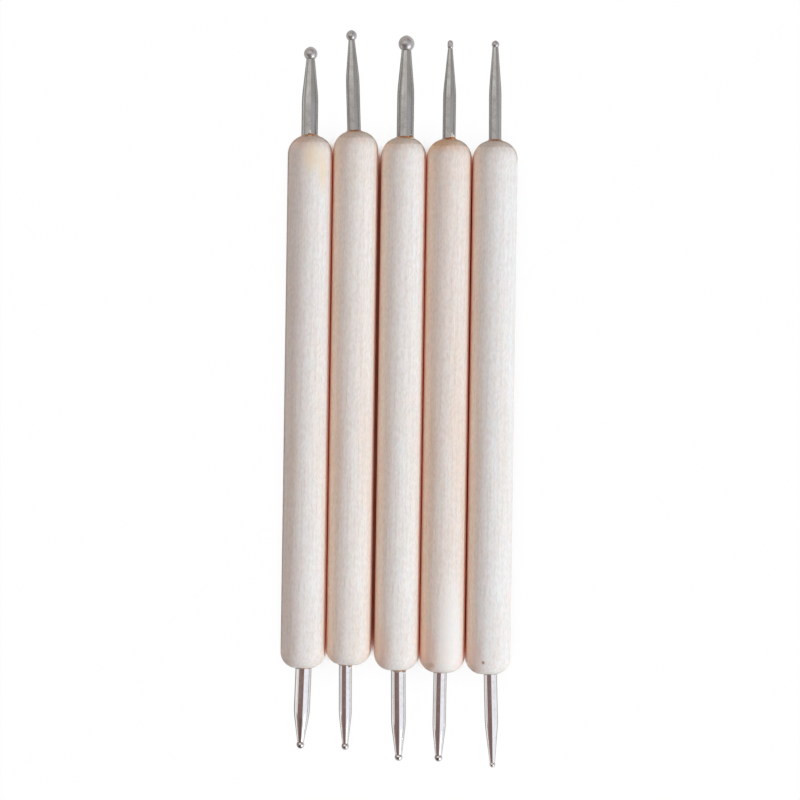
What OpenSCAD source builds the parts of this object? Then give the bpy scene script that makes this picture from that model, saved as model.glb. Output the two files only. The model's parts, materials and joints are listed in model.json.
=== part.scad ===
// A row of double-ended embossing styluses: turned wooden handles with a tapered, plated steel
// shank glued into each end, and a small steel ball brazed into the nose of every shank.
// The styluses lie side by side along Y with their head ends towards +Y. Lists run from left to right.

/* [Handles] */
// Diameter of every turned handle
handle_d = 8; // [7:0.1:12]
// Length of every handle
handle_len = 95; // [60:1:140]
// Radius that rounds the handle's edge at its head end
head_round_r = 3.4; // [1:0.1:3.4]
// Radius that rounds the handle's edge at its tail end
tail_round_r = 2.9; // [1:0.1:3.4]
// Gaps between neighbouring handles
row_gaps = [0.08, 0.55, 0.08, 0.18]; // [0.05:0.01:2]
// How far each stylus is pushed towards the head end
pen_push = [0.06, 0.83, 0, -0.29, -0.44]; // [-10:0.01:10]

/* [Head tips] */
// Diameter of each ball
head_ball_d = [2.4, 1.9, 2.85, 1, 1.35]; // [1:0.05:3]
// Extra length that makes a ball a longer nub
head_ball_stretch = [0, 0, 0, 0.6, 0]; // [0:0.1:1]
// Diameter of each nose, where the ball sits
head_nose_d = [1.5, 1.1, 1.7, 0.84, 1.05]; // [0.7:0.01:1.7]
// Diameter of each shank's straight length
head_shank_d = [2.9, 2.4, 3, 2.3, 2.2]; // [2:0.05:3.2]
// Distance along the shank from the handle's end to the ball's far side
head_reach = [15.5, 17.8, 17.8, 17.4, 17.6]; // [14:0.1:30]
// Length of each taper
head_taper_len = [8, 8, 8.5, 9.1, 9]; // [5:0.1:9.5]
// Distance of each shank's root to the right of its handle's axis
head_offset = [-0.17, -0.35, 0.19, -0.09, -0.08]; // [-0.6:0.01:0.6]
// Lean of each shank to the right, in degrees
head_lean = [0, -2.4, 0, 0, -0.6]; // [-3:0.1:3]

/* [Tail tips] */
// Diameter of each ball
tail_ball_d = [1.4, 1.35, 1.4, 1.4, 1.1]; // [1:0.05:3]
// Extra length that makes a ball a longer nub
tail_ball_stretch = [0, 0, 0, 0, 0]; // [0:0.1:1]
// Diameter of each nose, where the ball sits
tail_nose_d = [1.15, 1.05, 1.2, 1.2, 0.95]; // [0.7:0.01:1.7]
// Diameter of each shank's straight length
tail_shank_d = [2.85, 2.3, 2.6, 2.35, 2.35]; // [2:0.05:3.2]
// Distance along the shank from the handle's end to the ball's far side
tail_reach = [14.2, 15.1, 16.1, 15.8, 16.6]; // [14:0.1:30]
// Length of each taper
tail_taper_len = [6.4, 6.4, 6.6, 6.1, 8.2]; // [5:0.1:9.5]
// Distance of each shank's root to the right of its handle's axis
tail_offset = [0.15, -0.5, 0.35, -0.27, 0.47]; // [-0.6:0.01:0.6]
// Lean of each shank to the right, in degrees
tail_lean = [-1.5, 0.7, 1.1, -0.3, 2.1]; // [-3:0.1:3]

/* [Shank fitting] */
// Depth of the tang in the handle
tang_len = 12; // [6:0.5:20]
// Step in radius from the shank down to its tang
tang_step = 0.3; // [0.2:0.05:0.5]
// Chamfer on the tang's end
tang_chamfer = 0.25; // [0.1:0.05:0.4]
// Space left in the bore past the tang
bore_relief = 0.5; // [0.2:0.1:2]
// Full angle of the drill point at the bore's floor, in degrees
drill_angle = 118; // [90:1:140]
// Distance over which a taper's shoulder is rounded
shoulder_len = 1.2; // [0.4:0.1:2]
// Width of the nose's rim round the ball's cup
nose_rim = 0.06; // [0.02:0.01:0.1]

/* [Glue] */
// Thickness of the glue film round a tang
glue_film = 0.1; // [0.05:0.01:0.3]
// Height of the glue bead above the handle's end
bead_rise = 0.3; // [0.1:0.05:0.6]
// Radius of the bead's rounded edge, which is how far it spreads past the shank
bead_r = 0.5; // [0.3:0.05:0.8]
// Depth of the glue well that the bead fills at the bore's mouth
well_depth = 1; // [0.8:0.1:2]

/* [Hidden] */
$fn = 96;
pens = [0:4];
head = 0;
tail = 1;
pieces = ["handle", "head_shank", "head_ball", "head_glue", "tail_shank", "tail_ball", "tail_glue"];
function piece_name(i, piece) = str("pen", i + 1, "_", piece);

shoulder_steps = 8;
// how far a cut runs past the surface it opens
cut_over = 5;

handle_r = handle_d / 2;

// each end's sizes, chosen by head or tail
round_r = [head_round_r, tail_round_r];
ball_d = [head_ball_d, tail_ball_d];
ball_stretch = [head_ball_stretch, tail_ball_stretch];
nose_d = [head_nose_d, tail_nose_d];
shank_d = [head_shank_d, tail_shank_d];
reach = [head_reach, tail_reach];
taper_len = [head_taper_len, tail_taper_len];
offset_x = [head_offset, tail_offset];
lean = [head_lean, tail_lean];
way = [1, -1];

function shank_r(i, end) = shank_d[end][i] / 2;
function tang_r(i, end) = shank_r(i, end) - tang_step;
function bore_r(i, end) = tang_r(i, end) + glue_film;
function bead_edge_r(i, end) = shank_r(i, end) + bead_r;
function ball_r(i, end) = ball_d[end][i] / 2;
function nose_r(i, end) = nose_d[end][i] / 2;

// distances along a shank from the handle's end: the middle of the ball's front and back
// spheres, the face of the nose, and the start of the shoulder
function front_z(i, end) = reach[end][i] - ball_r(i, end);
function back_z(i, end) = front_z(i, end) - ball_stretch[end][i];
function cup_r(i, end) = nose_r(i, end) - nose_rim;
function nose_z(i, end) = back_z(i, end) - sqrt(pow(ball_r(i, end), 2) - pow(cup_r(i, end), 2));
function shoulder_z(i, end) = nose_z(i, end) - taper_len[end][i];

// the row's reach along Y, and the shift that puts the origin under the middle of its box
function far_y(i, end) = handle_len / 2 + way[end] * pen_push[i]
    + front_z(i, end) * cos(lean[end][i]) + ball_r(i, end);
head_end_y = max([for (i = pens) far_y(i, head)]);
tail_end_y = -max([for (i = pens) far_y(i, tail)]);
row_mid_y = (head_end_y + tail_end_y) / 2;

function gaps_before(i) = i == 0 ? 0 : gaps_before(i - 1) + row_gaps[i - 1];
function pen_x(i) = i * handle_d + gaps_before(i);
row_mid_x = (pen_x(0) + pen_x(4)) / 2;

// stands a piece drawn round Z on its stylus' axis, with Z towards the head
module on_pen(i) {
    translate([pen_x(i) - row_mid_x, pen_push[i] - row_mid_y, handle_r])
        rotate([-90, 0, 0])
            children();
}

// stands a piece drawn round Z at a shank's root, with Z outwards and the shank's lean
module on_shank(i, end) {
    translate([pen_x(i) - row_mid_x + offset_x[end][i],
               pen_push[i] - row_mid_y + way[end] * handle_len / 2,
               handle_r])
        rotate([0, 0, -way[end] * lean[end][i]])
            rotate([-90 * way[end], 0, 0])
                children();
}

// half of a handle's lengthwise section, from its middle to its end at z = handle_len / 2
module half_section(end) {
    r = round_r[end];
    square([handle_r, handle_len / 2 - r]);
    square([handle_r - r, handle_len / 2]);
    intersection() {
        translate([handle_r - r, handle_len / 2 - r])
            circle(r);
        square([handle_r, handle_len / 2]);
    }
}

module turned_blank() {
    rotate_extrude() {
        half_section(head);
        mirror([0, 1])
            half_section(tail);
    }
}

// a blind bore with a drill point, opened out at its mouth into the glue well
module bore(i, end) {
    r = bore_r(i, end);
    well = bead_edge_r(i, end);
    floor_z = -tang_len - bore_relief;
    point_len = r / tan(drill_angle / 2);
    rotate_extrude()
        polygon([[0, floor_z - point_len], [r, floor_z], [r, -well_depth],
                 [well, -well_depth], [well, cut_over], [0, cut_over]]);
}

module handle(i) {
    color("antiquewhite")
        difference() {
            on_pen(i)
                turned_blank();
            on_shank(i, head)
                bore(i, head);
            on_shank(i, tail)
                bore(i, tail);
        }
}

// the rounded shoulder: an arc that meets the straight shank and the cone without an edge
function shoulder_arc(i, end) =
    let (
        drop = shank_r(i, end) - nose_r(i, end),
        angle = atan(drop / (taper_len[end][i] - shoulder_len)),
        arc_r = shoulder_len / tan(angle / 2)
    )
    [for (k = [0:shoulder_steps])
        let (a = angle * k / shoulder_steps)
        [shank_r(i, end) - arc_r * (1 - cos(a)), shoulder_z(i, end) + arc_r * sin(a)]];

module shank(i, end) {
    tang = tang_r(i, end);
    section = concat(
        [[0, -tang_len],
         [tang - tang_chamfer, -tang_len],
         [tang, -tang_len + tang_chamfer],
         [tang, bead_rise],
         [shank_r(i, end), bead_rise]],
        shoulder_arc(i, end),
        [[nose_r(i, end), nose_z(i, end)],
         [0, nose_z(i, end)]]
    );
    color("silver")
        on_shank(i, end)
            difference() {
                rotate_extrude()
                    polygon(section);
                translate([0, 0, back_z(i, end)])
                    sphere(ball_r(i, end));
            }
}

module ball(i, end) {
    color("gainsboro")
        on_shank(i, end) {
            translate([0, 0, front_z(i, end)])
                sphere(ball_r(i, end));
            if (ball_stretch[end][i] > 0) {
                translate([0, 0, back_z(i, end)]) {
                    sphere(ball_r(i, end));
                    cylinder(r = ball_r(i, end), h = ball_stretch[end][i]);
                }
            }
        }
}

// the film round the tang, the filled well and the rounded bead that stands out of it
module glue(i, end) {
    tang = tang_r(i, end);
    root = shank_r(i, end);
    edge = bead_edge_r(i, end);
    color("burlywood")
        on_shank(i, end)
            rotate_extrude() {
                translate([tang, -tang_len])
                    square([glue_film, tang_len]);
                translate([tang, -well_depth])
                    square([root - tang, well_depth + bead_rise]);
                translate([tang, -well_depth])
                    square([edge - tang, well_depth + bead_rise - bead_r]);
                intersection() {
                    translate([root, bead_rise - bead_r])
                        circle(bead_r);
                    translate([root, -well_depth])
                        square([bead_r, well_depth + bead_rise]);
                }
            }
}

for (i = pens) {
    handle(i);
    shank(i, head);
    ball(i, head);
    glue(i, head);
    shank(i, tail);
    ball(i, tail);
    glue(i, tail);
}
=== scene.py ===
# Five double-ended embossing styluses: turned wood handles, plated steel shanks, ball tips and set glue.
# Each piece is a surface worked out with numpy over its own CAD node, whose sizes it reads.
import json
import math

import bpy
import numpy as np
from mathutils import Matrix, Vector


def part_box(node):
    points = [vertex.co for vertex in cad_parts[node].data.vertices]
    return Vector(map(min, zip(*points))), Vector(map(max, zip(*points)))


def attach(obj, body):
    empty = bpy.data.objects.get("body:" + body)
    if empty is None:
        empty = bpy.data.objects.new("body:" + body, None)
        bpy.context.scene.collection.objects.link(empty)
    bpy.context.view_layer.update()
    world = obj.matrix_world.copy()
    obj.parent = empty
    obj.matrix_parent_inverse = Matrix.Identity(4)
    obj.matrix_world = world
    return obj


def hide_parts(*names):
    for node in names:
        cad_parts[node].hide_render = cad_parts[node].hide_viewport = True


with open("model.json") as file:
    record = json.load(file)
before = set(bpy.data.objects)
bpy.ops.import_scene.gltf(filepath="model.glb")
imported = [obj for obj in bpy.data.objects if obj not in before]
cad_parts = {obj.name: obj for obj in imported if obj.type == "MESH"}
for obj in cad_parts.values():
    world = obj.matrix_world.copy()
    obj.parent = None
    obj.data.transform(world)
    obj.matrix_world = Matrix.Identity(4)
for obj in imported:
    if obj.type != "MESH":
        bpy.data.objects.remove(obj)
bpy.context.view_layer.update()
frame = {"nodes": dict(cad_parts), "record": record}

mm = 0.001
up = np.array([0.0, 0.0, 1.0])
penNames = ["pen1", "pen2", "pen3", "pen4", "pen5"]
endWay = {"head": 1.0, "tail": -1.0}
seats = {mount["name"]: mount for mount in frame["record"]["mounts"]}


# Camera: straight down, rolled with the row, as far off as the picture's scale asks

cameraSet = {"at": (0.149, -0.243), "height": 794.0, "roll": 0.01466, "lens": 200.0}


def placeCamera():
    data = bpy.data.cameras.new("copyCamera")
    data.lens = cameraSet["lens"]
    data.clip_start = 0.01
    camera = bpy.data.objects.new("copyCamera", data)
    camera.location = (cameraSet["at"][0] * mm, cameraSet["at"][1] * mm, cameraSet["height"] * mm)
    camera.rotation_euler = (0.0, 0.0, cameraSet["roll"])
    bpy.context.scene.collection.objects.link(camera)
    bpy.context.scene.camera = camera


placeCamera()
bpy.context.scene.view_settings.view_transform = "Standard"
print("camera placed")


# Shader helpers: each adds one node and joins or fills its inputs

def addNode(tree, kind, inputs, **settings):
    node = tree.nodes.new(kind)
    for name, value in settings.items():
        setattr(node, name, value)
    for socket, value in inputs.items():
        if isinstance(value, bpy.types.NodeSocket):
            tree.links.new(value, node.inputs[socket])
        else:
            node.inputs[socket].default_value = value
    return node


def calc(tree, operation, *values):
    node = addNode(tree, "ShaderNodeMath", dict(enumerate(values)), operation=operation)
    return node.outputs[0]


def vectorCalc(tree, operation, *values):
    node = addNode(tree, "ShaderNodeVectorMath", dict(enumerate(values)), operation=operation)
    return node.outputs[0]


def ramp(tree, value, low, high, toLow=0.0, toHigh=1.0):
    # smooth step from low to high, which may run downwards
    sockets = {"Value": value, "From Min": low, "From Max": high, "To Min": toLow, "To Max": toHigh}
    node = addNode(tree, "ShaderNodeMapRange", sockets, interpolation_type="SMOOTHSTEP")
    return node.outputs["Result"]


def mixColour(tree, amount, first, second, blend="MIX"):
    sockets = {"Factor": amount, 6: first, 7: second}
    node = addNode(tree, "ShaderNodeMix", sockets, data_type="RGBA", blend_type=blend)
    return node.outputs[2]


def noise(tree, vector, scale, detail=2.0, roughness=0.5):
    sockets = {"Vector": vector, "Scale": scale, "Detail": detail, "Roughness": roughness}
    return addNode(tree, "ShaderNodeTexNoise", sockets).outputs["Fac"]


def newGroup(name, inputs, outputs):
    group = bpy.data.node_groups.new(name, "ShaderNodeTree")
    for label, kind in inputs:
        group.interface.new_socket(name=label, in_out="INPUT", socket_type=kind)
    for label, kind in outputs:
        group.interface.new_socket(name=label, in_out="OUTPUT", socket_type=kind)
    return group, group.nodes.new("NodeGroupInput").outputs, group.nodes.new("NodeGroupOutput").inputs


def useGroup(tree, group, inputs):
    return addNode(tree, "ShaderNodeGroup", inputs, node_tree=group).outputs


def newMaterial(name):
    material = bpy.data.materials.new(name)
    material.use_nodes = True
    tree = material.node_tree
    return material, tree, tree.nodes["Principled BSDF"]


def penVector(tree, centre):
    # millimetres from a place on the stylus, with the pattern centred on it
    coords = addNode(tree, "ShaderNodeTexCoord", {})
    scale = 1.0 / mm
    place = tuple(-c * scale for c in centre)
    mapping = addNode(
        tree,
        "ShaderNodeMapping",
        {"Vector": coords.outputs["Object"], "Location": place, "Scale": (scale, scale, scale)},
    )
    return mapping.outputs["Vector"]


def split(tree, vector):
    return addNode(tree, "ShaderNodeSeparateXYZ", {0: vector}).outputs


def length(tree, vector):
    return addNode(tree, "ShaderNodeVectorMath", {0: vector}, operation="LENGTH").outputs["Value"]


def stretched(tree, vector, along):
    # squeezes a pattern's coordinate along Y, which draws the pattern out lengthwise
    return vectorCalc(tree, "MULTIPLY", vector, (1.0, along, 1.0))


# Shared effects

grainSet = {"fibres": (0.42, 1.2), "streaks": (0.03, 1.0), "pores": (0.09, 1.7), "poreFrom": (0.60, 0.74),
            "poreDepth": 0.6, "tone": (0.06, 0.35), "toneFrom": (0.3, 0.7)}


def makeWoodGrain():
    # fine streaks, short fibres and pores and a slow change of tone, all drawn out along Y: each has its
    # coordinate's share along Y and its scale, which goes with the streaks' width except for the tone
    group, given, out = newGroup(
        "woodGrain",
        [("Vector", "NodeSocketVector"), ("Streak Width", "NodeSocketFloat")],
        [("Streaks", "NodeSocketFloat"), ("Fibres", "NodeSocketFloat"), ("Pores", "NodeSocketFloat"),
         ("Tone", "NodeSocketFloat"), ("Height", "NodeSocketFloat")],
    )
    perWidth = calc(group, "DIVIDE", 1.0, given["Streak Width"])

    def layer(name, detail, roughness=0.5):
        along, scale = grainSet[name]
        place = stretched(group, given["Vector"], along)
        return noise(group, place, calc(group, "MULTIPLY", perWidth, scale), detail, roughness)

    fibres = layer("fibres", 1.0)
    streaks = layer("streaks", 3.0, 0.6)
    pores = ramp(group, layer("pores", 1.0), *grainSet["poreFrom"])
    toneAlong, toneScale = grainSet["tone"]
    broad = stretched(group, given["Vector"], toneAlong)
    tone = ramp(group, noise(group, broad, toneScale, 1.0), *grainSet["toneFrom"])
    height = calc(group, "SUBTRACT", streaks, calc(group, "MULTIPLY", pores, grainSet["poreDepth"]))
    shown = {"Streaks": streaks, "Fibres": fibres, "Pores": pores, "Tone": tone, "Height": height}
    for label, value in shown.items():
        group.links.new(value, out[label])
    return group


def makeSoftSpot():
    # one soft patch: full at its centre, gone at its radii
    group, given, out = newGroup(
        "softSpot",
        [("Vector", "NodeSocketVector"), ("Centre", "NodeSocketVector"), ("Radii", "NodeSocketVector")],
        [("Mask", "NodeSocketFloat")],
    )
    away = vectorCalc(group, "SUBTRACT", given["Vector"], given["Centre"])
    share = vectorCalc(group, "DIVIDE", away, given["Radii"])
    group.links.new(ramp(group, length(group, share), 1.0, 0.2), out["Mask"])
    return group


def makeEndBand():
    # a band across Y that is full past one place and gone before another
    group, given, out = newGroup(
        "endBand",
        [("Vector", "NodeSocketVector"), ("Gone At", "NodeSocketFloat"), ("Full At", "NodeSocketFloat"),
         ("Wander", "NodeSocketFloat")],
        [("Mask", "NodeSocketFloat")],
    )
    place = calc(group, "ADD", split(group, given["Vector"])["Y"], given["Wander"])
    group.links.new(ramp(group, place, given["Gone At"], given["Full At"]), out["Mask"])
    return group


# open-sky shares and distances across the row, in mm, between which each mask of painted bounced light and
# painted gap shade comes in
nearbySet = {"warm": (0.97, 0.72), "doorFlank": (-1.0, -2.6), "windowFlank": (2.8, 3.4),
             "gapShade": (0.32, 0.08), "sideChange": 0.4}


def makeCreviceShade():
    # how far a neighbour closes off the view from here, as masks for painted light: the bounce mask starts
    # wide on the side away from the window and close on the window's side, the gap shade mask is full in
    # the narrow gap beside a neighbour
    group, given, out = newGroup(
        "creviceShade",
        [("Vector", "NodeSocketVector"), ("Reach", "NodeSocketFloat"), ("Left Side", "NodeSocketFloat"),
         ("Right Side", "NodeSocketFloat")],
        [("Painted Bounce", "NodeSocketFloat"), ("Painted Gap Shade", "NodeSocketFloat")],
    )
    look = addNode(group, "ShaderNodeAmbientOcclusion", {"Distance": given["Reach"]}, samples=8)
    openSky = look.outputs["AO"]
    acrossRow = split(group, given["Vector"])["X"]
    doorFlank = ramp(group, acrossRow, *nearbySet["doorFlank"])
    windowFlank = ramp(group, acrossRow, *nearbySet["windowFlank"])
    flank = calc(group, "MAXIMUM", doorFlank, windowFlank)
    group.links.new(calc(group, "MULTIPLY", flank, ramp(group, openSky, *nearbySet["warm"])), out["Painted Bounce"])
    change = nearbySet["sideChange"]
    beside = ramp(group, acrossRow, -change, change, given["Left Side"], given["Right Side"])
    group.links.new(calc(group, "MULTIPLY", beside, ramp(group, openSky, *nearbySet["gapShade"])), out["Painted Gap Shade"])
    return group


drawSet = {"linesAlong": 0.035, "ringsAcross": 0.02, "ringScale": 1.5, "cloudScale": 0.9, "lineHeight": 0.9,
           "ringHeight": 0.1}


def makeDrawnMetal():
    # lengthwise draw lines, faint turning rings and cloudy dullness on plated steel
    group, given, out = newGroup(
        "drawnMetal",
        [("Vector", "NodeSocketVector"), ("Line Width", "NodeSocketFloat")],
        [("Lines", "NodeSocketFloat"), ("Clouds", "NodeSocketFloat"), ("Height", "NodeSocketFloat")],
    )
    perWidth = calc(group, "DIVIDE", 1.0, given["Line Width"])
    lines = noise(group, stretched(group, given["Vector"], drawSet["linesAlong"]), perWidth, 2.0, 0.6)
    across = drawSet["ringsAcross"]
    roundRings = vectorCalc(group, "MULTIPLY", given["Vector"], (across, 1.0, across))
    rings = noise(group, roundRings, calc(group, "MULTIPLY", perWidth, drawSet["ringScale"]), 2.0)
    clouds = noise(group, given["Vector"], drawSet["cloudScale"], 2.0)
    raised = calc(group, "MULTIPLY", lines, drawSet["lineHeight"])
    height = calc(group, "ADD", raised, calc(group, "MULTIPLY", rings, drawSet["ringHeight"]))
    for label, value in (("Lines", lines), ("Clouds", clouds), ("Height", height)):
        group.links.new(value, out[label])
    return group


woodGrain = makeWoodGrain()
softSpot = makeSoftSpot()
endBand = makeEndBand()
creviceShade = makeCreviceShade()
drawnMetal = makeDrawnMetal()
print("shared effects made")


# Studio: a room seen in the metal, one compact window from the right and below, and a pale floor

# the room's three walls by turn round the row's length, each with its colour in four stretches of the
# share along the row, and where its near stretch and its side of the room begin
roomSet = {
    "overhead": {"far": (0.66, 0.57, 0.53, 1.0), "headHalf": (1.05, 1.05, 1.01, 1.0),
                 "tailHalf": (0.225, 0.148, 0.138, 1.0), "near": (0.12, 0.08, 0.07, 1.0),
                 "nearFrom": (-0.30, -0.42)},
    "windowSide": {"far": (0.36, 0.30, 0.28, 1.0), "headHalf": (0.54, 0.52, 0.51, 1.0),
                   "tailHalf": (0.95, 0.97, 1.05, 1.0), "near": (0.74, 0.69, 0.68, 1.0),
                   "nearFrom": (-0.30, -0.42), "turn": (0.14, 0.34)},
    "doorSide": {"far": (0.76, 0.66, 0.62, 1.0), "headHalf": (0.48, 0.42, 0.39, 1.0),
                 "tailHalf": (0.80, 0.77, 0.76, 1.0), "near": (0.35, 0.27, 0.23, 1.0),
                 "nearFrom": (-0.14, -0.24), "turn": (-1.02, -1.18)},
}
stretchSet = {"far": (0.48, 0.62), "middle": (0.06, -0.05)}
# the window lights the row; the two panes are only seen mirrored in the metal and the glue
lampSet = {
    "windowLight": {"toward": (0.74, -0.36, 0.555), "distance": 900.0, "size": 180.0, "power": 5.35,
                    "colour": (0.78, 0.94, 1.0), "mirrored": False},
    "windowPane": {"toward": (0.62, -0.67, 0.42), "distance": 900.0, "size": 600.0, "power": 3.1,
                   "colour": (0.94, 0.97, 1.0), "mirrored": True},
    "doorPane": {"toward": (-0.88, -0.44, 0.04), "distance": 900.0, "size": 110.0, "power": 0.5,
                 "colour": (1.0, 0.98, 0.97), "mirrored": True},
}
# glow is the floor's own white for the camera and reflections; it goes where the open sky's share falls,
# and painted shade takes its place.
# "lit", "mouth" and the painted shadow's and painted shade's keys are the shares between which each comes
# in. The painted shade in the gaps between the handles is red-brown, standing in for light bounced off the
# wood, and outside the row's edges it is plain
floorSet = {"half": 4000.0, "colour": (0.60, 0.56, 0.53, 1.0), "glow": 0.995, "shadeReach": 5.5,
            "lit": (0.235, 0.285), "mouth": (0.13, 0.20), "paintedShadow": (0.30, 0.75), "paintedShadowDepth": 0.05,
            "paintedShade": (0.3, 0.1), "rowX": (17.2, 16.2), "rowY": (50.0, 48.8),
            "rowPaintedShade": (0.50, 0.14, 0.08, 1.0), "openPaintedShade": (0.44, 0.39, 0.36, 1.0),
            "rowGapShade": (0.30, 0.09, 0.045, 1.0), "openGapShade": (0.52, 0.46, 0.43, 1.0)}


def lightRoom():
    world = bpy.data.worlds.new("studioRoom")
    bpy.context.scene.world = world
    world.use_nodes = True
    tree = world.node_tree
    direction = addNode(tree, "ShaderNodeTexCoord", {}).outputs["Generated"]
    part = split(tree, direction)
    turn = calc(tree, "ARCTAN2", part["X"], part["Z"])
    isFar = ramp(tree, part["Y"], *stretchSet["far"])
    isTail = ramp(tree, part["Y"], *stretchSet["middle"])
    colour = None
    for wall in roomSet.values():
        headHalf = mixColour(tree, isFar, wall["headHalf"], wall["far"])
        tailHalf = mixColour(tree, ramp(tree, part["Y"], *wall["nearFrom"]), wall["tailHalf"], wall["near"])
        wallColour = mixColour(tree, isTail, headHalf, tailHalf)
        if colour is None:
            colour = wallColour
        else:
            colour = mixColour(tree, ramp(tree, turn, *wall["turn"]), colour, wallColour)
    tree.links.new(colour, tree.nodes["Background"].inputs["Color"])


def hangLamps():
    for name, settings in lampSet.items():
        data = bpy.data.lights.new(name, "AREA")
        data.shape = "SQUARE"
        data.size = settings["size"] * mm
        data.energy = settings["power"]
        data.color = settings["colour"]
        lamp = bpy.data.objects.new(name, data)
        toward = np.array(settings["toward"])
        toward = toward / np.linalg.norm(toward)
        lamp.location = toward * settings["distance"] * mm
        aim = math.atan2(toward[1], toward[0]) + math.pi / 2
        lamp.rotation_euler = (math.acos(toward[2]), 0.0, aim)
        lamp.visible_camera = False
        lamp.visible_glossy = settings["mirrored"]
        lamp.visible_diffuse = not settings["mirrored"]
        bpy.context.scene.collection.objects.link(lamp)


def layFloor():
    # pale card: it glows white for the camera and for reflections, except where painted shade, drawn from
    # how far the object closes off the open sky, darkens it
    half = floorSet["half"] * mm
    corners = [(-half, -half, 0), (half, -half, 0), (half, half, 0), (-half, half, 0)]
    mesh = bpy.data.meshes.new("paleFloor")
    mesh.from_pydata(corners, [], [(0, 1, 2, 3)])
    floor = bpy.data.objects.new("paleFloor", mesh)
    bpy.context.scene.collection.objects.link(floor)
    material, tree, card = newMaterial("paleCard")
    card.inputs["Roughness"].default_value = 0.8
    card.inputs["Specular IOR Level"].default_value = 0.1
    reach = floorSet["shadeReach"] * mm
    look = addNode(tree, "ShaderNodeAmbientOcclusion", {"Distance": reach}, samples=16)
    openSky = look.outputs["AO"]

    # which colours the painted shade has: inside the row or in the open
    place = addNode(tree, "ShaderNodeTexCoord", {}).outputs["Object"]
    place = split(tree, vectorCalc(tree, "ABSOLUTE", place))
    inX = ramp(tree, place["X"], *(edge * mm for edge in floorSet["rowX"]))
    inY = ramp(tree, place["Y"], *(edge * mm for edge in floorSet["rowY"]))
    inRow = calc(tree, "MULTIPLY", inX, inY)
    paintedShadeColour = mixColour(tree, inRow, floorSet["openPaintedShade"], floorSet["rowPaintedShade"])
    gapShadeColour = mixColour(tree, inRow, floorSet["openGapShade"], floorSet["rowGapShade"])

    # painted shade: the card's colour darkens where the object closes off the open sky
    paintedShade = ramp(tree, openSky, *floorSet["paintedShade"])
    tree.links.new(mixColour(tree, paintedShade, floorSet["colour"], paintedShadeColour), card.inputs["Base Color"])
    path = addNode(tree, "ShaderNodeLightPath", {}).outputs
    seen = calc(tree, "MAXIMUM", path["Is Camera Ray"], path["Is Glossy Ray"])
    seen = calc(tree, "MAXIMUM", seen, path["Is Transmission Ray"])
    shown = calc(tree, "MULTIPLY", seen, ramp(tree, openSky, *floorSet["mouth"]))
    # the white glow turns to the painted red-brown gap shade where the open sky closes
    glowColour = mixColour(tree, ramp(tree, openSky, *floorSet["lit"]), gapShadeColour, (1.0, 1.0, 1.0, 1.0))
    # a faint painted shadow round the object: the glow dims as the open sky closes
    strength = ramp(tree, openSky, *floorSet["paintedShadow"], 1.0 - floorSet["paintedShadowDepth"], 1.0)
    glow = addNode(tree, "ShaderNodeEmission", {"Color": glowColour, "Strength": strength})
    amount = calc(tree, "MULTIPLY", shown, floorSet["glow"])
    both = addNode(tree, "ShaderNodeMixShader", {0: amount, 1: card.outputs[0], 2: glow.outputs[0]})
    tree.links.new(both.outputs[0], tree.nodes["Material Output"].inputs["Surface"])
    mesh.materials.append(material)


lightRoom()
hangLamps()
layFloor()
print("studio lit")


# Sizes read from the frame

def nodePoints(name):
    mesh = frame["nodes"][name].data
    flat = np.empty(len(mesh.vertices) * 3, np.float32)
    mesh.vertices.foreach_get("co", flat)
    return flat.reshape(-1, 3).astype(float)


def readHandle(pen):
    low, high = (np.array(corner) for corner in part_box(pen + "_handle"))
    return {"centre": (low + high) / 2, "radius": (high[2] - low[2]) / 2, "half": (high[1] - low[1]) / 2}


# how far in mm each size is read from its node's edge, and how deep the tang is plain
readSet = {"nose": 0.01, "tang": 1.0, "well": 0.1, "film": 0.5}


def readEnd(pen, end):
    # the guard seat gives the shank's axis, which is followed back to the plane of the handle's end;
    # then each node's points give its sizes as length along that axis and distance from it
    seat = seats[f"{pen}_{end}_guard_seat"]
    axis = np.array(seat["axis"])
    middle = np.array(seat["pos_m"])
    handle = readHandle(pen)
    endY = handle["centre"][1] + endWay[end] * handle["half"]
    root = middle - axis * (middle[1] - endY) / axis[1]
    reach = {}
    for piece in ("shank", "ball", "glue"):
        away = nodePoints(f"{pen}_{end}_{piece}") - root
        along = away @ axis
        reach[piece] = (along, np.linalg.norm(away - along[:, None] * axis, axis=1))
    near = {size: depth * mm for size, depth in readSet.items()}
    bodyR = seat["dims"]["r_mm"] * mm
    shankAlong, shankOut = reach["shank"]
    ballAlong, ballOut = reach["ball"]
    glueAlong, glueOut = reach["glue"]
    straight = np.dot(middle - root, axis) + seat["dims"]["length_mm"] * mm / 2
    return {
        "root": root,
        "axis": axis,
        "across": np.array([abs(axis[1]), -axis[0] * endWay[end], 0.0]),
        "bodyR": bodyR,
        "straight": straight,
        "nose": shankAlong.max(),
        "noseR": shankOut[shankAlong > shankAlong.max() - near["nose"]].max(),
        "tangEnd": shankAlong.min(),
        "tangR": shankOut[shankAlong < -near["tang"]].max(),
        "ballR": ballOut.max(),
        "ballBack": ballAlong.min() + ballOut.max(),
        "ballFront": ballAlong.max() - ballOut.max(),
        "wellR": glueOut.max(),
        "wellFloor": glueAlong[glueOut > bodyR + near["well"]].min(),
        "filmR": glueOut[glueAlong < glueAlong.min() + near["film"]].max(),
    }


handles = {pen: readHandle(pen) for pen in penNames}
ends = {(pen, end): readEnd(pen, end) for pen in penNames for end in endWay}
print("sizes read from the frame")


# Surface helpers

turnCount = 120
turns = np.linspace(0.0, 2 * np.pi, turnCount, endpoint=False)


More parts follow.
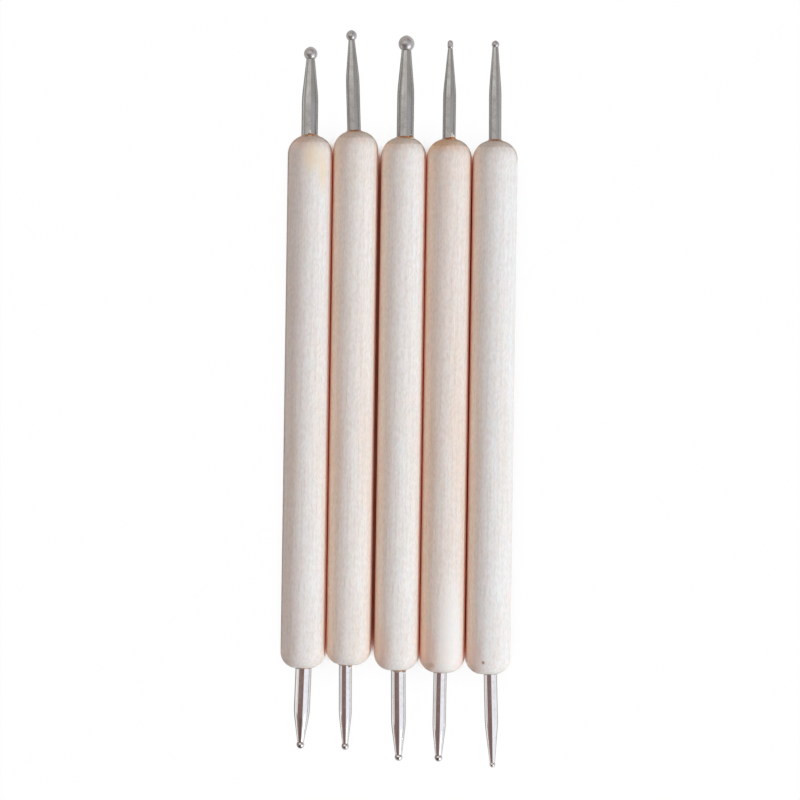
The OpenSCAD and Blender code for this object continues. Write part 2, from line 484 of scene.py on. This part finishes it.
def ringAt(root, axis, across, along, out):
    # ring = root + axis * along + out * (across * cos turn + up * sin turn), with along and out given
    # as one number a ring or one a point
    along = np.broadcast_to(np.asarray(along, float), turns.shape)[:, None]
    out = np.broadcast_to(np.asarray(out, float), turns.shape)[:, None]
    spoke = across * np.cos(turns)[:, None] + up * np.sin(turns)[:, None]
    return root + axis * along + spoke * out


def buildPiece(name, points, quads, fans, sharpDegrees, material):
    # the whole skin is turned over if the volume that it encloses, a sixth of the sum of its corners'
    # triple products, comes out negative
    triangles = np.vstack([quads[:, [0, 1, 2]], quads[:, [0, 2, 3]], fans])
    corners = points[triangles]
    volume = np.einsum("ij,ij->i", corners[:, 0], np.cross(corners[:, 1], corners[:, 2])).sum() / 6
    if volume < 0:
        quads = quads[:, ::-1]
        fans = fans[:, ::-1]
    mesh = bpy.data.meshes.new(name)
    mesh.from_pydata(points.tolist(), [], quads.tolist() + fans.tolist())
    mesh.shade_smooth()
    mesh.set_sharp_from_angle(angle=math.radians(sharpDegrees))
    mesh.materials.append(material)
    piece = bpy.data.objects.new(name, mesh)
    bpy.context.scene.collection.objects.link(piece)
    return piece


def closedSkin(name, rings, firstPole, lastPole, material):
    # quads join each ring to the next and a fan closes each pole
    rings = np.asarray(rings)
    ringCount = len(rings)
    points = np.vstack([rings.reshape(-1, 3), firstPole, lastPole])
    spot = np.arange(turnCount)
    after = np.roll(spot, -1)
    start = (np.arange(ringCount - 1) * turnCount)[:, None]
    quads = np.stack([start + spot, start + turnCount + spot, start + turnCount + after, start + after], -1)
    first = np.full(turnCount, ringCount * turnCount)
    lastStart = (ringCount - 1) * turnCount
    fans = np.vstack([
        np.stack([first, spot, after], 1),
        np.stack([first + 1, lastStart + after, lastStart + spot], 1),
    ])
    return buildPiece(name, points, quads.reshape(-1, 4), fans, 38, material)


def closedTube(name, rings, material):
    # rings that come back to the first one, so the skin is a ring-shaped tube without poles
    rings = np.asarray(rings)
    grid = np.arange(len(rings) * turnCount).reshape(len(rings), turnCount)
    nextRing = np.roll(grid, -1, axis=0)
    quads = np.stack([grid, nextRing, np.roll(nextRing, -1, axis=1), np.roll(grid, -1, axis=1)], -1)
    noFans = np.empty((0, 3), int)
    return buildPiece(name, rings.reshape(-1, 3), quads.reshape(-1, 4), noFans, 50, material)


def dress(piece, pen, node):
    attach(piece, pen)
    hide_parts(node)


# Turned wooden handles: sizes in mm

handleSet = {"roundR": {"head": 3.4, "tail": 2.9}, "boreRelief": 0.5, "drillAngle": 118.0,
             "domeRings": 40, "barrelRings": 60, "boreRings": 8, "stepRings": 4, "blendOut": 0.9}
# each stylus' own colours, its head stain, which is partly painted shade, and its spots: centre, radii,
# colour and strength
woodSet = {
    "pen1": {
        "pale": (0.85, 0.806, 0.797, 1.0), "warm": (0.855, 0.78, 0.74, 1.0),
        "headStainAndShade": (1.0, 0.86, 0.78, 1.0),
        "spots": [((0.3, 43.4, 3.6), (2.6, 4.0, 3.0), (0.84, 0.69, 0.52, 1.0), 0.75),
                  ((2.3, 41.0, 3.2), (1.1, 5.5, 2.5), (0.83, 0.66, 0.48, 1.0), 0.65)],
    },
    "pen2": {
        "pale": (0.86, 0.801, 0.776, 1.0), "warm": (0.855, 0.75, 0.693, 1.0),
        "headStainAndShade": (1.0, 0.95, 0.90, 1.0),
        "spots": [],
    },
    "pen3": {
        "pale": (0.86, 0.816, 0.802, 1.0), "warm": (0.855, 0.785, 0.75, 1.0),
        "headStainAndShade": (1.0, 0.90, 0.80, 1.0),
        "spots": [((-2.7, -44.5, 2.8), (2.6, 7.0, 3.5), (0.86, 0.62, 0.54, 1.0), 0.5)],
    },
    "pen4": {
        "pale": (0.845, 0.76, 0.724, 1.0), "warm": (0.835, 0.714, 0.642, 1.0),
        "headStainAndShade": (1.0, 0.76, 0.54, 1.0),
        "spots": [((1.5, -41.0, 3.2), (3.6, 15.0, 4.5), (0.845, 0.80, 0.78, 1.0), 0.75),
                  ((-2.7, -44.5, 2.8), (2.6, 7.0, 3.5), (0.84, 0.58, 0.50, 1.0), 0.5),
                  ((1.35, 14.0, 3.7), (0.17, 6.0, 1.0), (0.93, 0.86, 0.80, 1.0), 0.6),
                  ((1.95, 13.0, 3.5), (0.15, 5.0, 1.0), (0.64, 0.57, 0.53, 1.0), 0.5),
                  ((-1.9, -46.0, 3.0), (0.9, 0.8, 2.0), (0.55, 0.34, 0.20, 1.0), 0.5)],
    },
    "pen5": {
        "pale": (0.83, 0.796, 0.792, 1.0), "warm": (0.83, 0.765, 0.74, 1.0),
        "headStainAndShade": (0.99, 0.97, 0.95, 1.0),
        "spots": [((-2.7, -44.5, 2.8), (2.6, 7.0, 3.5), (0.83, 0.62, 0.57, 1.0), 0.45),
                  ((-0.9, -45.2, 3.8), (0.35, 0.45, 1.0), (0.35, 0.16, 0.10, 1.0), 0.9)],
    },
}
# what all handles share: the shades that streaks and fibres multiply by, and the pores' colour
finishSet = {"streakWidth": 0.38, "streakFrom": (0.35, 0.7), "streakShade": (0.94, 0.92, 0.90, 1.0),
             "fibreFrom": (0.38, 0.66), "fibreShade": (0.93, 0.915, 0.90, 1.0), "poreAmount": 0.16,
             "poreColour": (0.50, 0.36, 0.26, 1.0), "wander": 0.6, "rough": (0.5, 0.66), "bump": 0.02}
# painted shade at the head end and painted light at the tail end, for the head's dome facing away from the
# window and the tail's facing it: depth from the handle's end at which each starts and is full, and what it
# multiplies by
endShadeAndLightSet = {"head": (1.5, 1.1, (0.84, 0.82, 0.79, 1.0)), "tail": (1.1, 0.5, (1.06, 1.06, 1.06, 1.0))}
# each stylus' stain fades in over these depths from the head end, and across the row: it is strongest on
# the side away from the window, so it is partly painted shade
headStainAndShadeSet = {"from": 3.2, "full": 0.7, "across": (2.5, -2.0), "least": 0.2}
# painted shade on the handle's outline, where the surface turns from the view: on the barrel it fades
# across the row, on the domes it is even
outlineShadeSet = {"facing": (0.58, 0.76), "shade": (0.70, 0.62, 0.56, 1.0), "across": (2.0, -2.0),
           "domeDepth": (4.2, 3.0), "dome": {"head": 0.9, "tail": 0.15}}
# painted bounced light and painted shade on a flank beside a neighbour or near the table, painted red-brown
# shade in the narrow gap, and a faint red glow there standing in for its bounced light
paintedCreviceSet = {"reach": 5.0, "doorBounceLight": (1.17, 1.07, 0.95, 1.0), "windowSideShade": (0.97, 0.90, 0.86, 1.0),
              "bounceTintChange": 1.0, "gapShade": (0.98, 0.45, 0.31, 1.0), "glow": (0.028, 0.009, 0.006, 1.0)}


def depthBand(tree, vector, half, end, start, full, wander):
    # the mask of a handle's end between two depths from it
    way = endWay[end]
    places = {"Gone At": way * (half - start), "Full At": way * (half - full)}
    return useGroup(tree, endBand, {"Vector": vector, "Wander": wander, **places})["Mask"]


def woodColour(tree, pen, vector, grain):
    settings = woodSet[pen]
    half = handles[pen]["half"] / mm
    acrossRow = split(tree, vector)["X"]

    # the wood's own figure
    colour = mixColour(tree, grain["Tone"], settings["pale"], settings["warm"])
    streaks = ramp(tree, grain["Streaks"], *finishSet["streakFrom"])
    colour = mixColour(tree, streaks, colour, finishSet["streakShade"], "MULTIPLY")
    fibres = ramp(tree, grain["Fibres"], *finishSet["fibreFrom"])
    colour = mixColour(tree, fibres, colour, finishSet["fibreShade"], "MULTIPLY")
    pores = calc(tree, "MULTIPLY", grain["Pores"], finishSet["poreAmount"])
    colour = mixColour(tree, pores, colour, finishSet["poreColour"])

    # painted shade at the head end and painted light at the tail end, the head's stain with its painted
    # shade, and spots
    wander = calc(tree, "MULTIPLY", calc(tree, "SUBTRACT", grain["Streaks"], 0.5), finishSet["wander"])
    for end, (start, full, shade) in endShadeAndLightSet.items():
        band = depthBand(tree, vector, half, end, start, full, wander)
        colour = mixColour(tree, band, colour, shade, "MULTIPLY")
    stain = depthBand(tree, vector, half, "head", headStainAndShadeSet["from"], headStainAndShadeSet["full"], wander)
    # painted shade: the stain is weakest on the window's side
    stainShadeSide = ramp(tree, acrossRow, *headStainAndShadeSet["across"], headStainAndShadeSet["least"], 1.0)
    stain = calc(tree, "MULTIPLY", stain, stainShadeSide)
    colour = mixColour(tree, stain, colour, settings["headStainAndShade"], "MULTIPLY")
    for centre, radii, spotColour, amount in settings["spots"]:
        spot = useGroup(tree, softSpot, {"Vector": vector, "Centre": centre, "Radii": radii})
        colour = mixColour(tree, calc(tree, "MULTIPLY", spot["Mask"], amount), colour, spotColour)

    # painted shade on the outline, then painted bounced light and shade from the neighbours
    sides = {"Left Side": float(pen != penNames[0]), "Right Side": float(pen != penNames[-1])}
    near = useGroup(tree, creviceShade, {"Vector": vector, "Reach": paintedCreviceSet["reach"] * mm, **sides})
    edge = ramp(tree, acrossRow, *outlineShadeSet["across"])
    for end, amount in outlineShadeSet["dome"].items():
        onDome = depthBand(tree, vector, half, end, *outlineShadeSet["domeDepth"], 0.0)
        edge = addNode(tree, "ShaderNodeMix", {0: onDome, 2: edge, 3: amount}).outputs[0]
    # the painted outline shade follows how far the surface faces away from the view
    facing = addNode(tree, "ShaderNodeLayerWeight", {"Blend": 0.5}).outputs["Facing"]
    edge = calc(tree, "MULTIPLY", edge, ramp(tree, facing, *outlineShadeSet["facing"]))
    edge = calc(tree, "MULTIPLY", edge, calc(tree, "SUBTRACT", 1.0, near["Painted Bounce"]))
    colour = mixColour(tree, edge, colour, outlineShadeSet["shade"], "MULTIPLY")
    # painted bounced light on the flank away from the window, painted shade on the window's side, then the
    # painted red-brown gap shade
    change = paintedCreviceSet["bounceTintChange"]
    bounceTintSide = ramp(tree, acrossRow, -change, change)
    bounceTint = mixColour(tree, bounceTintSide, paintedCreviceSet["doorBounceLight"], paintedCreviceSet["windowSideShade"])
    colour = mixColour(tree, near["Painted Bounce"], colour, bounceTint, "MULTIPLY")
    return mixColour(tree, near["Painted Gap Shade"], colour, paintedCreviceSet["gapShade"]), near["Painted Gap Shade"]


def makeWood(pen):
    material, tree, wood = newMaterial(f"turnedWood_{pen}")
    vector = penVector(tree, handles[pen]["centre"])
    grain = useGroup(tree, woodGrain, {"Vector": vector, "Streak Width": finishSet["streakWidth"]})
    colour, gapShade = woodColour(tree, pen, vector, grain)
    tree.links.new(colour, wood.inputs["Base Color"])
    # painted glow in the gap: a red emission standing in for light bounced through the wood
    glow = mixColour(tree, gapShade, (0.0, 0.0, 0.0, 1.0), paintedCreviceSet["glow"])
    tree.links.new(glow, wood.inputs["Emission Color"])
    wood.inputs["Emission Strength"].default_value = 1.0
    tree.links.new(ramp(tree, grain["Streaks"], 0.3, 0.7, *finishSet["rough"]), wood.inputs["Roughness"])
    settings = {"Height": grain["Height"], "Distance": finishSet["bump"] * mm, "Strength": 0.5}
    bump = addNode(tree, "ShaderNodeBump", settings)
    tree.links.new(bump.outputs[0], wood.inputs["Normal"])
    wood.inputs["Specular IOR Level"].default_value = 0.3
    wood.inputs["Subsurface Weight"].default_value = 0.45
    wood.inputs["Subsurface Radius"].default_value = (1.0, 0.5, 0.35)
    wood.inputs["Subsurface Scale"].default_value = 0.7 * mm
    return material


def domeHeight(handle, end, distance):
    # how far the end's outline stands from the handle's middle, at a distance from its axis:
    # flat in the middle, then a quarter circle
    roundR = handleSet["roundR"][end] * mm
    beyond = np.clip(distance - (handle["radius"] - roundR), 0.0, roundR)
    return handle["half"] - roundR + np.sqrt(roundR ** 2 - beyond ** 2)


def mouthRing(handle, end, sizes, out, axisShare=1.0):
    # a ring round the shank's root, or between it and the handle's axis, pressed on to the rounded end
    centre = handle["centre"] + (sizes["root"] - handle["centre"]) * np.array([axisShare, 0.0, 0.0])
    x = centre[0] + out * np.cos(turns)
    z = centre[2] + out * np.sin(turns)
    distance = np.hypot(x - handle["centre"][0], z - handle["centre"][2])
    y = handle["centre"][1] + endWay[end] * domeHeight(handle, end, distance)
    return np.stack([x, y, z], 1)


def endRings(handle, end, sizes):
    # from the drill point out along the bore, over the well's step and its mouth, then over the dome
    # in rings whose centre moves from the root to the handle's own axis
    at = (sizes["root"], sizes["axis"], sizes["across"])
    filmR = sizes["filmR"]
    wellR = sizes["wellR"]
    boreFloor = sizes["tangEnd"] - handleSet["boreRelief"] * mm
    pointLength = filmR / math.tan(math.radians(handleSet["drillAngle"] / 2))
    pole = sizes["root"] + sizes["axis"] * (boreFloor - pointLength)
    rings = []
    for share in (0.2, 0.6, 1.0):
        rings.append(ringAt(*at, boreFloor - pointLength * (1 - share), filmR * share))
    for depth in np.linspace(boreFloor, sizes["wellFloor"], handleSet["boreRings"])[1:]:
        rings.append(ringAt(*at, depth, filmR))
    for out in np.linspace(filmR, wellR, handleSet["stepRings"])[1:]:
        rings.append(ringAt(*at, sizes["wellFloor"], out))
    wellEdge = rings[-1]
    mouth = mouthRing(handle, end, sizes, wellR)
    for share in (0.35, 0.7, 0.95, 1.0):
        rings.append(wellEdge * (1 - share) + mouth * share)
    roundR = handleSet["roundR"][end] * mm
    flatR = handle["radius"] - roundR
    startAngle = math.asin((wellR - flatR) / roundR)
    blendOut = wellR + handleSet["blendOut"] * mm
    for angle in np.linspace(startAngle, math.pi / 2, handleSet["domeRings"])[1:]:
        out = flatR + roundR * math.sin(angle)
        share = np.clip((blendOut - out) / (blendOut - wellR), 0.0, 1.0)
        rings.append(mouthRing(handle, end, sizes, out, share))
    return pole, rings


def makeHandle(pen):
    handle = handles[pen]
    tailPole, tailRings = endRings(handle, "tail", ends[pen, "tail"])
    headPole, headRings = endRings(handle, "head", ends[pen, "head"])
    lengthwise = np.array([0.0, 1.0, 0.0])
    across = np.array([1.0, 0.0, 0.0])
    barrel = []
    for y in np.linspace(tailRings[-1][0, 1], headRings[-1][0, 1], handleSet["barrelRings"])[1:-1]:
        root = np.array([handle["centre"][0], y, handle["centre"][2]])
        barrel.append(ringAt(root, lengthwise, across, 0.0, handle["radius"]))
    rings = tailRings + barrel + headRings[::-1]
    piece = closedSkin(f"{pen}_turned_handle", rings, tailPole, headPole, makeWood(pen))
    dress(piece, pen, f"{pen}_handle")


for pen in penNames:
    makeHandle(pen)
print("handles turned")


# Steel shanks: sizes in mm

shankSet = {"chamfer": 0.25, "shoulder": 1.2, "sunk": 0.25, "step": 0.02, "noseRim": 0.06, "bodyRings": 16,
            "arcRings": 10, "taperRings": 30, "cupRings": 6, "cupEnd": 0.15}
# "rim" is the painted shade that the outline is multiplied by, standing in for the dim surroundings it
# mirrors, and the other rim values say how it fades across the shank
steelSet = {
    "head": {"slot": "satin_steel", "colour": (0.50, 0.497, 0.49, 1.0), "streak": (0.345, 0.31, 0.305, 1.0),
             "rough": (0.20, 0.30), "lineWidth": 0.35, "streakAmount": 0.5, "bump": 0.002,
             "rim": (0.55, 0.50, 0.48, 1.0), "rimShadeFacing": (0.30, 0.75), "rimShadeSide": (-0.3, 0.3),
             "rightRimShade": 0.65},
    "tail": {"slot": "polished_steel", "colour": (0.90, 0.89, 0.88, 1.0), "streak": (0.66, 0.62, 0.60, 1.0),
             "rough": (0.06, 0.14), "lineWidth": 0.30, "streakAmount": 0.3, "bump": 0.001,
             "rim": (0.46, 0.42, 0.44, 1.0), "rimShadeFacing": (0.42, 0.62), "rimShadeSide": (-0.3, 0.3),
             "rightRimShade": 0.4},
}


def rimShaded(tree, vector, colour, settings):
    # painted shade on the metal's outline, standing in for the dim surroundings it mirrors, weaker on the
    # window's side
    facing = addNode(tree, "ShaderNodeLayerWeight", {"Blend": 0.5}).outputs["Facing"]
    side = ramp(tree, split(tree, vector)["X"], *settings["rimShadeSide"], 1.0, settings["rightRimShade"])
    amount = calc(tree, "MULTIPLY", ramp(tree, facing, *settings["rimShadeFacing"]), side)
    return mixColour(tree, amount, colour, settings["rim"], "MULTIPLY")


def makeSteel(pen, end):
    settings = steelSet[end]
    material, tree, steel = newMaterial(f"{settings['slot']}_{pen}")
    vector = penVector(tree, ends[pen, end]["root"])
    marks = useGroup(tree, drawnMetal, {"Vector": vector, "Line Width": settings["lineWidth"]})
    streaks = calc(tree, "MULTIPLY", ramp(tree, marks["Lines"], 0.35, 0.72), settings["streakAmount"])
    colour = mixColour(tree, streaks, settings["colour"], settings["streak"])
    colour = mixColour(tree, ramp(tree, marks["Clouds"], 0.45, 0.8, 0.0, 0.3), colour, settings["streak"])
    colour = rimShaded(tree, vector, colour, settings)
    tree.links.new(colour, steel.inputs["Base Color"])
    rough = ramp(tree, marks["Clouds"], 0.25, 0.75, *settings["rough"])
    tree.links.new(rough, steel.inputs["Roughness"])
    bump = addNode(tree, "ShaderNodeBump", {"Height": marks["Height"], "Distance": settings["bump"] * mm})
    tree.links.new(bump.outputs[0], steel.inputs["Normal"])
    steel.inputs["Metallic"].default_value = 1.0
    steel.inputs["Specular Tint"].default_value = (0.35, 0.34, 0.34, 1.0)
    return material


def shoulderArc(sizes):
    # an arc that meets the straight length and the cone without an edge: its radius is the
    # shoulder's length over the tangent of half the cone's angle
    shoulder = shankSet["shoulder"] * mm
    taper = sizes["nose"] - sizes["straight"]
    angle = math.atan((sizes["bodyR"] - sizes["noseR"]) / (taper - shoulder))
    arcR = shoulder / math.tan(angle / 2)
    steps = np.linspace(0.0, angle, shankSet["arcRings"])
    return sizes["straight"] + arcR * np.sin(steps), sizes["bodyR"] - arcR * (1 - np.cos(steps))


def shankProfile(sizes):
    # points of length along the axis and distance from it: chamfered tang, straight length, shoulder,
    # cone, nose rim and a cup that fits the ball
    tangEnd, tangR, bodyR = sizes["tangEnd"], sizes["tangR"], sizes["bodyR"]
    chamfer = shankSet["chamfer"] * mm
    step = shankSet["step"] * mm
    top = -shankSet["sunk"] * mm
    start = [
        (tangEnd, 0.3 * tangR), (tangEnd, tangR - chamfer), (tangEnd + chamfer, tangR),
        (tangEnd + chamfer * 1.2, tangR), (-1.0 * mm, tangR), (top - step, tangR),
        (top, tangR + step), (top, bodyR - step), (top + step, bodyR),
    ]
    body = np.linspace(top + step, sizes["straight"], shankSet["bodyRings"])[1:-1]
    arcAlong, arcOut = shoulderArc(sizes)
    share = np.linspace(0.0, 1.0, shankSet["taperRings"])[1:]
    coneAlong = arcAlong[-1] + (sizes["nose"] - arcAlong[-1]) * share
    coneOut = arcOut[-1] + (sizes["noseR"] - arcOut[-1]) * share
    cupR = sizes["noseR"] - shankSet["noseRim"] * mm
    sphereR = math.hypot(cupR, sizes["nose"] - sizes["ballBack"])
    cup = np.linspace(math.asin(cupR / sphereR), shankSet["cupEnd"], shankSet["cupRings"])
    cupAlong = sizes["ballBack"] - sphereR * np.cos(cup)
    along = np.concatenate([[a for a, r in start], body, arcAlong, coneAlong, cupAlong])
    bodyOut = np.full(len(body), bodyR)
    out = np.concatenate([[r for a, r in start], bodyOut, arcOut, coneOut, sphereR * np.sin(cup)])
    return along, out, sizes["ballBack"] - sphereR


def sweep(name, sizes, along, out, first, last, material):
    # a profile carried round a shank's axis, with its two poles' lengths along it
    rings = [ringAt(sizes["root"], sizes["axis"], sizes["across"], a, r) for a, r in zip(along, out)]
    firstPole = sizes["root"] + sizes["axis"] * first
    lastPole = sizes["root"] + sizes["axis"] * last
    return closedSkin(name, rings, firstPole, lastPole, material)


def makeShank(pen, end):
    sizes = ends[pen, end]
    along, out, cupPole = shankProfile(sizes)
    name = f"{pen}_{end}_steel_shank"
    piece = sweep(name, sizes, along, out, sizes["tangEnd"], cupPole, makeSteel(pen, end))
    dress(piece, pen, f"{pen}_{end}_shank")


# Ball tips: the apex's height and width are shares of the ball's radius

# the rim values paint shade on the ball's outline, as on the shanks
ballSet = {
    "head": {"colour": (0.50, 0.485, 0.483, 1.0), "stain": (0.38, 0.345, 0.34, 1.0), "rough": (0.26, 0.36),
             "metallic": 0.75, "rim": (0.66, 0.63, 0.62, 1.0), "rimShadeFacing": (0.22, 0.55),
             "rimShadeSide": (-0.3, 0.2), "rightRimShade": 0.35},
    "tail": {"colour": (0.78, 0.77, 0.76, 1.0), "stain": (0.50, 0.45, 0.44, 1.0), "rough": (0.12, 0.20),
             "metallic": 1.0, "rim": (0.32, 0.27, 0.28, 1.0), "rimShadeFacing": (0.03, 0.20),
             "rimShadeSide": (-0.3, 0.2), "rightRimShade": 0.35},
}
apexSet = {"rings": 44, "height": 0.05, "width": 0.4}


def makeBallSteel(pen, end):
    settings = ballSet[end]
    material, tree, steel = newMaterial(f"polishedBall_{pen}_{end}")
    vector = penVector(tree, ends[pen, end]["root"])
    marks = useGroup(tree, drawnMetal, {"Vector": vector, "Line Width": 0.25})
    stained = ramp(tree, marks["Clouds"], 0.5, 0.8, 0.0, 0.6)
    colour = mixColour(tree, stained, settings["colour"], settings["stain"])
    colour = rimShaded(tree, vector, colour, settings)
    tree.links.new(colour, steel.inputs["Base Color"])
    tree.links.new(ramp(tree, marks["Clouds"], 0.3, 0.7, *settings["rough"]), steel.inputs["Roughness"])
    bump = addNode(tree, "ShaderNodeBump", {"Height": marks["Clouds"], "Distance": 0.02 * mm})
    tree.links.new(bump.outputs[0], steel.inputs["Normal"])
    steel.inputs["Metallic"].default_value = settings["metallic"]
    return material


def makeBall(pen, end):
    # a sphere whose halves may stand apart, swept from back to front: length = centre - R cos angle and
    # distance = R sin angle, with a low cone raised on the front pole by a bell curve of the distance
    sizes = ends[pen, end]
    ballR = sizes["ballR"]
    angles = np.linspace(0.0, math.pi, apexSet["rings"] + 2)[1:-1]
    centre = np.where(angles < math.pi / 2, sizes["ballBack"], sizes["ballFront"])
    out = ballR * np.sin(angles)
    bell = np.exp(-(out / (apexSet["width"] * ballR)) ** 2) * (angles > math.pi / 2)
    along = centre - ballR * np.cos(angles) + apexSet["height"] * ballR * bell
    first = sizes["ballBack"] - ballR
    last = sizes["ballFront"] + ballR * (1 + apexSet["height"])
    piece = sweep(f"{pen}_{end}_tip_ball", sizes, along, out, first, last, makeBallSteel(pen, end))
    dress(piece, pen, f"{pen}_{end}_ball")


for pen in penNames:
    for end in endWay:
        makeShank(pen, end)
        makeBall(pen, end)
print("shanks and balls made")


# Set glue: sizes in mm, and drops as (degrees to the right of the top, width, lift, bulge)

glueSet = {
    "head": {"rise": 0.24, "spread": 0.05, "rim": (0.50, 0.19, 0.07, 1.0),
             "smear": (0.70, 0.50, 0.34, 1.0)},
    "tail": {"rise": 0.12, "spread": -0.10, "rim": (0.50, 0.33, 0.22, 1.0),
             "smear": (0.76, 0.66, 0.56, 1.0)},
}
glueDrops = {
    ("pen1", "head"): [(3.0, 0.25, 0.85, 0.20)],
    ("pen3", "head"): [(44.0, 0.30, 0.40, 0.22)],
    ("pen4", "head"): [(24.0, 0.38, 0.90, 0.34)],
    ("pen2", "tail"): [(43.0, 0.28, 0.60, 0.16)],
    ("pen3", "tail"): [(50.0, 0.30, 0.55, 0.20), (-10.0, 0.8, 0.22, 0.05)],
}
# the meniscus: how much its rise and its edge wander, the power of its rise, and how deep it is tucked in
meniscusSet = {"rings": 14, "filmRings": 6, "riseWander": 0.25, "edgeWander": 0.10, "power": 1.9,
               "tuck": 0.03, "dropReach": 1.05, "dropPower": 1.2, "dropLift": 0.6}
# the smear lies this far from the shank and this low, and past the given lengths along the shank the clear
# glue is painted near-white, a painted highlight for its glint
glueFinish = {"smearFrom": (0.10, 0.34), "low": (-0.02, -0.2), "patch": 0.3, "paintedGlintFrom": (0.26, 0.34),
              "paintedGlint": (0.96, 0.94, 0.93, 1.0), "rough": (0.08, 0.2), "bump": 0.04}


def makeGlueFinish(pen, end):
    settings = glueSet[end]
    material, tree, glue = newMaterial(f"setGlue_{pen}_{end}")
    vector = penVector(tree, ends[pen, end]["root"])
    patches = noise(tree, vector, 1.6, 2.0)
    fromAxis = length(tree, stretched(tree, vector, 0.0))
    fromShank = calc(tree, "SUBTRACT", fromAxis, ends[pen, end]["bodyR"] / mm)
    patchShift = calc(tree, "MULTIPLY", calc(tree, "SUBTRACT", patches, 0.5), glueFinish["patch"])
    fromShank = calc(tree, "ADD", fromShank, patchShift)
    outward = calc(tree, "MULTIPLY", split(tree, vector)["Y"], endWay[end])
    low = ramp(tree, outward, *glueFinish["low"])
    onWood = calc(tree, "MULTIPLY", ramp(tree, fromShank, *glueFinish["smearFrom"]), low)
    # painted highlight: the glue on the shank is near-white
    glintOnShank = ramp(tree, outward, *glueFinish["paintedGlintFrom"])
    colour = mixColour(tree, onWood, settings["rim"], settings["smear"])
    tree.links.new(mixColour(tree, glintOnShank, colour, glueFinish["paintedGlint"]), glue.inputs["Base Color"])
    tree.links.new(ramp(tree, patches, 0.3, 0.7, *glueFinish["rough"]), glue.inputs["Roughness"])
    ripple = noise(tree, vector, 3.0, 2.0)
    bump = addNode(tree, "ShaderNodeBump", {"Height": ripple, "Distance": glueFinish["bump"] * mm})
    tree.links.new(bump.outputs[0], glue.inputs["Normal"])
    glue.inputs["Transmission Weight"].default_value = 0.2
    glue.inputs["IOR"].default_value = 1.5
    return material


def makeGlue(pen, end):
    # the film, the filled well and the meniscus: from the outer edge on the wood the height over the dome
    # rises towards the shank as a power of the share of the way, and each drop adds a bell curve
    sizes = ends[pen, end]
    handle = handles[pen]
    settings = glueSet[end]
    at = (sizes["root"], sizes["axis"], sizes["across"])
    bodyR = sizes["bodyR"]
    wellFloor = sizes["wellFloor"]
    tuck = meniscusSet["tuck"] * mm
    seed = penNames.index(pen) * 2.1 + (0.7 if end == "tail" else 0.0)
    wander = 0.5 * np.sin(2 * turns + seed) + 0.3 * np.sin(3 * turns + 2.3 * seed)
    wander = wander + 0.2 * np.sin(7 * turns - seed)
    rise = settings["rise"] * (1 + meniscusSet["riseWander"] * wander) * mm
    edge = sizes["wellR"] + (settings["spread"] + meniscusSet["edgeWander"] * np.roll(wander, 17)) * mm
    bulge = np.zeros(turnCount)
    for degrees, width, lift, swell in glueDrops.get((pen, end), []):
        away = np.angle(np.exp(1j * (turns - math.radians(90.0 - degrees)))) * bodyR
        bell = np.exp(-(away / (width * mm)) ** 4)
        rise = rise + lift * mm * bell
        bulge = bulge + swell * mm * bell
    tangTop = sizes["tangR"] - 0.01 * mm
    rings = [ringAt(*at, sizes["tangEnd"], tangTop)]
    for depth in np.linspace(sizes["tangEnd"], wellFloor, meniscusSet["filmRings"]):
        rings.append(ringAt(*at, depth, sizes["filmR"]))
    rings += [ringAt(*at, wellFloor, sizes["wellR"]), ringAt(*at, wellFloor * 0.6, sizes["wellR"])]
    spoke = sizes["across"] * np.cos(turns)[:, None] + up * np.sin(turns)[:, None]
    for share in np.linspace(1.0, 0.0, meniscusSet["rings"]):
        onWood = mouthRing(handle, end, sizes, bodyR - tuck + (edge - bodyR) * share)
        height = rise * (1 - share) ** meniscusSet["power"] - tuck * share ** 6
        inDrop = min(1.0, (1 - share) * meniscusSet["dropReach"])
        swell = bulge * math.sin(math.pi * inDrop) ** meniscusSet["dropPower"]
        lifted = height + meniscusSet["dropLift"] * swell
        rings.append(onWood + sizes["axis"] * lifted[:, None] + spoke * swell[:, None])
    rings += [ringAt(*at, 0.0, tangTop), ringAt(*at, sizes["tangEnd"] * 0.5, tangTop)]
    piece = closedTube(f"{pen}_{end}_glue_fillet", rings, makeGlueFinish(pen, end))
    dress(piece, pen, f"{pen}_{end}_glue")


for pen in penNames:
    for end in endWay:
        makeGlue(pen, end)
print("glue set")
